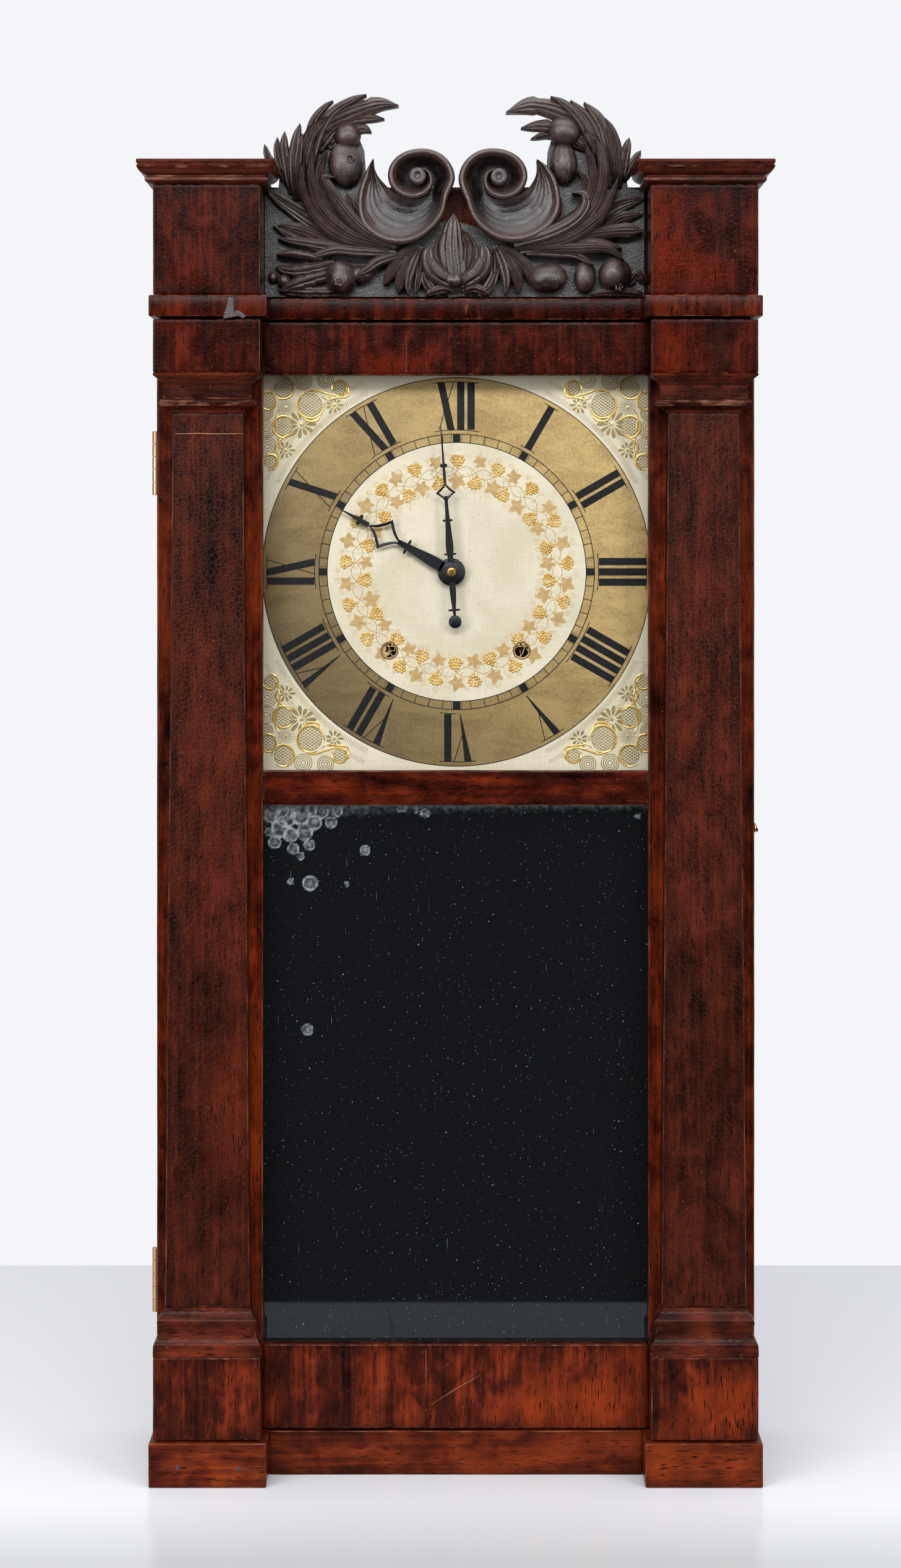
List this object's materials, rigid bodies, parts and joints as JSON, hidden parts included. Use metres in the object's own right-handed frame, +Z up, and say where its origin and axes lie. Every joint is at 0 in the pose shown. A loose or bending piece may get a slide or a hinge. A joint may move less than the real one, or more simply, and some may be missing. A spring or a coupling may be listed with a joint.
{
  "type": "shelf clock",
  "caption": "Tall weight-driven shelf clock: mahogany case with carved scroll crest, hinged door between tapered pilasters, painted dial above a mirror, pendulum and falling weights",
  "frame": {"origin": "middle of the bounding box, at floor level", "axes": "+Z up, the dial and door face -Y, +X to the right of someone looking at the dial; metres"},
  "size_m": [0.4508, 0.1626, 0.9925],
  "materials": {
    "mahogany": "old crackled varnish over red-brown mahogany veneer, semi-gloss",
    "dark_mahogany": "darker crotch veneer, semi-gloss",
    "carved_wood": "near-black stained carving with dust on its high points",
    "pine": "unfinished aged softwood",
    "painted_dial": "cream paint with black numerals and gilt wreath and corners",
    "clear_glass": "old clear window glass",
    "silvered_glass": "old silvered mirror with dark foxing spots",
    "brass": "lacquered yellow brass, dulled",
    "steel": "plain grey steel",
    "cast_iron": "rough dark iron",
    "blued_steel": "black painted steel",
    "cord": "twisted linen cord"
  },
  "bodies": {
    "case": {"left_case_side": "mahogany", "right_case_side": "mahogany", "back_board": "pine", "bottom_board": "pine", "top_board": "mahogany", "left_band_block": "mahogany", "right_band_block": "mahogany", "left_foot_block": "mahogany", "right_foot_block": "mahogany", "base_rail": "mahogany", "left_top_block": "mahogany", "right_top_block": "mahogany", "left_cornice": "mahogany", "right_cornice": "mahogany", "crest_board": "dark_mahogany", "crest_carving": "carved_wood", "dial_board": "painted_dial", "upper_hinge_case_leaf": "brass", "lower_hinge_case_leaf": "brass", "movement_frame": "brass", "gong": "steel", "time_cord_lead": "cord", "strike_cord_lead": "cord", "time_cord_drop": "cord", "strike_cord_drop": "cord"},
    "door": {"door_left_stile": "mahogany", "door_right_stile": "mahogany", "door_top_rail": "mahogany", "door_middle_rail": "mahogany", "door_bottom_rail": "mahogany", "left_pilaster": "dark_mahogany", "right_pilaster": "dark_mahogany", "left_capital": "mahogany", "right_capital": "mahogany", "left_base_moulding": "mahogany", "right_base_moulding": "mahogany", "left_frieze_block": "mahogany", "right_frieze_block": "mahogany", "left_plinth_block": "mahogany", "right_plinth_block": "mahogany", "dial_glass": "clear_glass", "mirror_plate": "silvered_glass", "mirror_backboard": "pine", "upper_hinge_door_leaf": "brass", "lower_hinge_door_leaf": "brass"},
    "hook": {"door_hook": "brass"},
    "minute_train": {"minute_hand": "blued_steel", "centre_wheel": "brass"},
    "hour_train": {"hour_hand": "blued_steel"},
    "escape": {"escape_wheel": "brass"},
    "verge": {"verge": "steel"},
    "pendulum": {"pendulum_rod": "steel", "pendulum_bob": "brass"},
    "time_barrel": {"time_barrel": "brass"},
    "strike_barrel": {"strike_barrel": "brass"},
    "time_weight": {"time_weight": "cast_iron"},
    "strike_weight": {"strike_weight": "cast_iron"},
    "time_pulley": {"time_pulley": "brass"},
    "strike_pulley": {"strike_pulley": "brass"},
    "hammer": {"hammer": "steel"}
  },
  "joints": [
    {"name": "door_swing", "type": "hinge", "parent": "case", "child": "door", "pos_m": [-0.2174, -0.01885, 0.43], "axis": [0, 0, -1], "range_deg": [0, 115]},
    {"name": "hook_lift", "type": "hinge", "parent": "case", "child": "hook", "pos_m": [0.2157, -0.01215, 0.462], "axis": [-1, 0, 0], "range_deg": [0, 75]},
    {"name": "minute_hand_turn", "type": "hinge", "parent": "case", "child": "minute_train", "pos_m": [-0.003, 0, 0.648], "axis": [0, 1, 0], "continuous": true},
    {"name": "hour_hand_turn", "type": "hinge", "parent": "case", "child": "hour_train", "pos_m": [-0.003, 0, 0.648], "axis": [0, 1, 0], "continuous": true},
    {"name": "escape_wheel_turn", "type": "hinge", "parent": "case", "child": "escape", "pos_m": [-0.003, 0, 0.6827], "axis": [0, 1, 0], "continuous": true},
    {"name": "pendulum_swing", "type": "hinge", "parent": "case", "child": "pendulum", "pos_m": [-0.003, 0, 0.7161], "axis": [0, 1, 0], "range_deg": [-4, 4]},
    {"name": "verge_rock", "type": "hinge", "parent": "case", "child": "verge", "pos_m": [-0.003, 0, 0.7081], "axis": [0, 1, 0], "range_deg": [-5, 5]},
    {"name": "time_weight_lift", "type": "slide", "parent": "case", "child": "time_weight", "axis": [0, 0, 1], "range_m": [0, 0.5], "deforming": ["time_cord_drop"]},
    {"name": "time_barrel_wind", "type": "hinge", "parent": "case", "child": "time_barrel", "pos_m": [0.0481, 0, 0.5908], "axis": [0, -1, 0], "range_deg": [0, 2200]},
    {"name": "time_pulley_turn", "type": "hinge", "parent": "case", "child": "time_pulley", "pos_m": [0.1647, 0, 0.8122], "axis": [0, -1, 0], "range_deg": [0, 3010]},
    {"name": "strike_weight_lift", "type": "slide", "parent": "case", "child": "strike_weight", "axis": [0, 0, 1], "range_m": [0, 0.5], "deforming": ["strike_cord_drop"]},
    {"name": "strike_barrel_wind", "type": "hinge", "parent": "case", "child": "strike_barrel", "pos_m": [-0.0481, 0, 0.5908], "axis": [0, 1, 0], "range_deg": [0, 2200]},
    {"name": "strike_pulley_turn", "type": "hinge", "parent": "case", "child": "strike_pulley", "pos_m": [-0.1647, 0, 0.8122], "axis": [0, 1, 0], "range_deg": [0, 3010]},
    {"name": "hammer_lift", "type": "hinge", "parent": "case", "child": "hammer", "pos_m": [-0.003, 0, 0.57], "axis": [0, -1, 0], "range_deg": [0, 12]}
  ],
  "couplings": [
    {"joint": "hour_hand_turn", "follows": "minute_hand_turn", "ratio": 0.083333},
    {"joint": "escape_wheel_turn", "follows": "minute_hand_turn", "ratio": -6.6667},
    {"joint": "verge_rock", "follows": "pendulum_swing", "ratio": 1.15},
    {"joint": "time_barrel_wind", "follows": "time_weight_lift", "rad_per_m": 75.758},
    {"joint": "time_pulley_turn", "follows": "time_weight_lift", "rad_per_m": 104.17},
    {"joint": "strike_barrel_wind", "follows": "strike_weight_lift", "rad_per_m": 75.758},
    {"joint": "strike_pulley_turn", "follows": "strike_weight_lift", "rad_per_m": 104.17}
  ]
}
